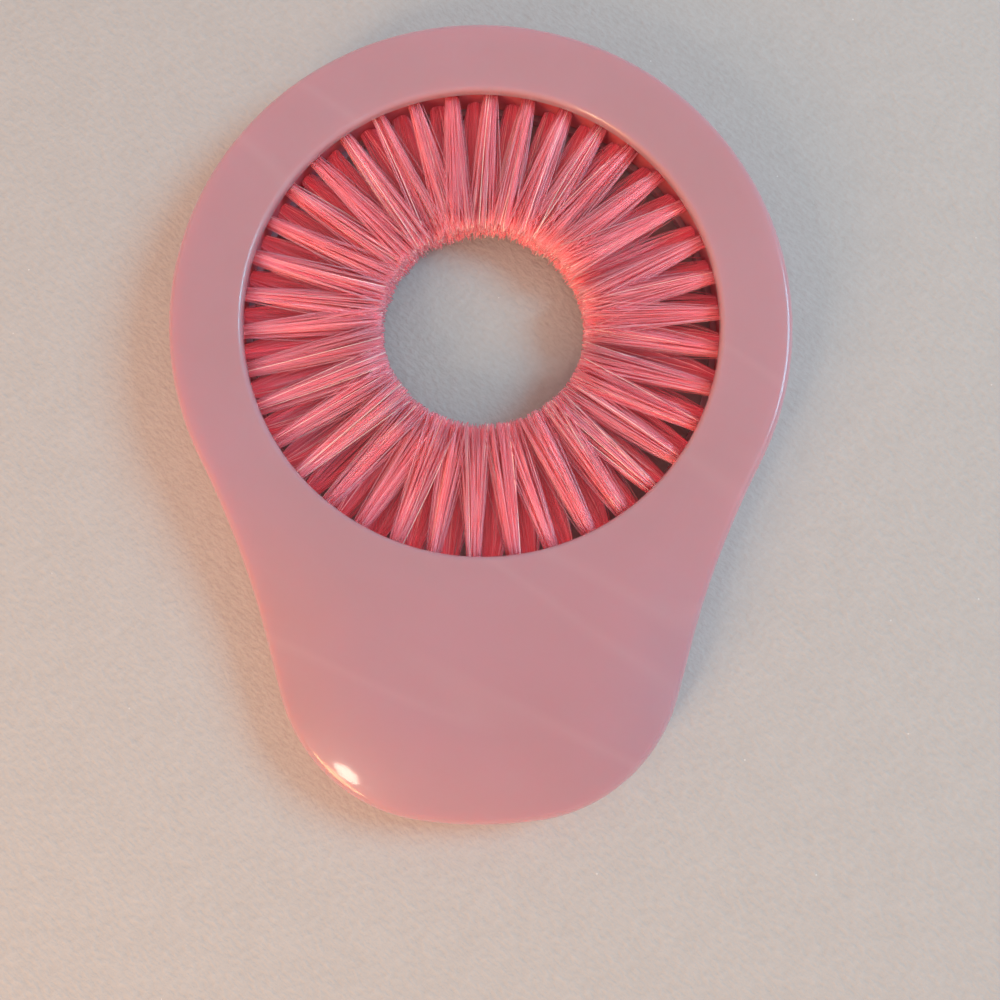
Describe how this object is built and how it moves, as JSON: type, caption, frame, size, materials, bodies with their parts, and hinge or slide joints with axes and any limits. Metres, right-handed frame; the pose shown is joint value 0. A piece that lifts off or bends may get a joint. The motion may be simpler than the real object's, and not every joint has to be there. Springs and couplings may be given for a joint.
{
  "type": "corn silk brush",
  "caption": "Hand brush that strips silk from a corn cob: a ring of inward bristles held between two moulded shells with a tab handle.",
  "frame": {"origin": "middle of the footprint on the flat rear face, which the brush lies on", "axes": "+Y along the length from the handle towards the bristle ring, +Z out of the front face, +X to the right seen from the front"},
  "size_m": [0.0872, 0.113, 0.01],
  "materials": {
    "shell_plastic": "slightly translucent dusty pink, satin to gloss",
    "bristle_nylon": "translucent coral pink filaments, glossy"
  },
  "bodies": {
    "root": {"front_shell": "shell_plastic", "rear_shell": "shell_plastic", "bristle_strip_01": "bristle_nylon", "bristle_strip_02": "bristle_nylon", "bristle_strip_03": "bristle_nylon", "bristle_strip_04": "bristle_nylon", "bristle_strip_05": "bristle_nylon", "bristle_strip_06": "bristle_nylon", "bristle_strip_07": "bristle_nylon", "bristle_strip_08": "bristle_nylon", "bristle_strip_09": "bristle_nylon", "bristle_strip_10": "bristle_nylon", "bristle_strip_11": "bristle_nylon", "bristle_strip_12": "bristle_nylon", "bristle_strip_13": "bristle_nylon", "bristle_strip_14": "bristle_nylon", "bristle_strip_15": "bristle_nylon", "bristle_strip_16": "bristle_nylon", "bristle_strip_17": "bristle_nylon", "bristle_strip_18": "bristle_nylon", "bristle_strip_19": "bristle_nylon"}
  },
  "joints": []
}
